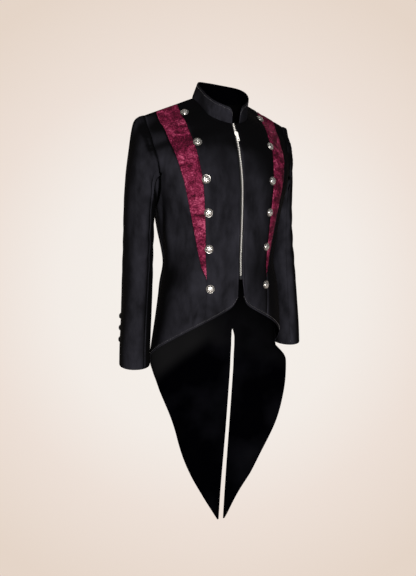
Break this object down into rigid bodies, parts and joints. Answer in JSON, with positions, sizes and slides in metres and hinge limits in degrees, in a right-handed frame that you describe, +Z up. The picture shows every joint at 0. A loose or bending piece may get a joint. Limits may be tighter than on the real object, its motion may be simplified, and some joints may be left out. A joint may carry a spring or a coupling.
{
  "type": "stand-collar velvet tailcoat",
  "caption": "Black velvet tailcoat with a stand collar, front zip, burgundy front insets, domed metal buttons and long pointed tails, filled out as worn and hollow.",
  "frame": {"origin": "middle of the neck, level with the points where the shoulder seams meet the collar", "axes": "+Z up along the wearer, -Y to the front, +X to the wearer's left"},
  "size_m": [0.528, 0.2369, 1.2082],
  "materials": {
    "black_velvet": "cut pile velvet with a soft sheen",
    "burgundy_velvet": "crushed velvet",
    "silver_metal": "bright plated",
    "black_metal": "blackened",
    "black_button": "moulded, satin",
    "zip_tape": "woven tape"
  },
  "bodies": {
    "coat": {"front_right": "black_velvet", "side_front_right": "black_velvet", "back_right": "black_velvet", "top_sleeve_right": "black_velvet", "under_sleeve_right": "black_velvet", "inset_right": "burgundy_velvet", "button_right_1": "silver_metal", "button_right_2": "silver_metal", "button_right_3": "silver_metal", "button_right_4": "silver_metal", "button_right_5": "silver_metal", "button_right_6": "silver_metal", "cuff_button_right_1": "black_button", "cuff_button_right_2": "black_button", "cuff_button_right_3": "black_button", "zip_tape_right": "zip_tape", "front_left": "black_velvet", "side_front_left": "black_velvet", "back_left": "black_velvet", "top_sleeve_left": "black_velvet", "under_sleeve_left": "black_velvet", "inset_left": "burgundy_velvet", "button_left_1": "silver_metal", "button_left_2": "silver_metal", "button_left_3": "silver_metal", "button_left_4": "silver_metal", "button_left_5": "silver_metal", "button_left_6": "silver_metal", "cuff_button_left_1": "black_button", "cuff_button_left_2": "black_button", "cuff_button_left_3": "black_button", "zip_tape_left": "zip_tape", "collar": "black_velvet", "zip_chain": "silver_metal", "zip_slider": "silver_metal", "zip_retainer": "black_metal"},
    "pull_tab": {"zip_pull_tab": "silver_metal"}
  },
  "joints": [
    {"name": "pull_tab_hinge", "type": "hinge", "parent": "coat", "child": "pull_tab", "pos_m": [0, -0.0934, -0.09553], "axis": [-1, 0, 0], "range_deg": [0, 150]}
  ]
}
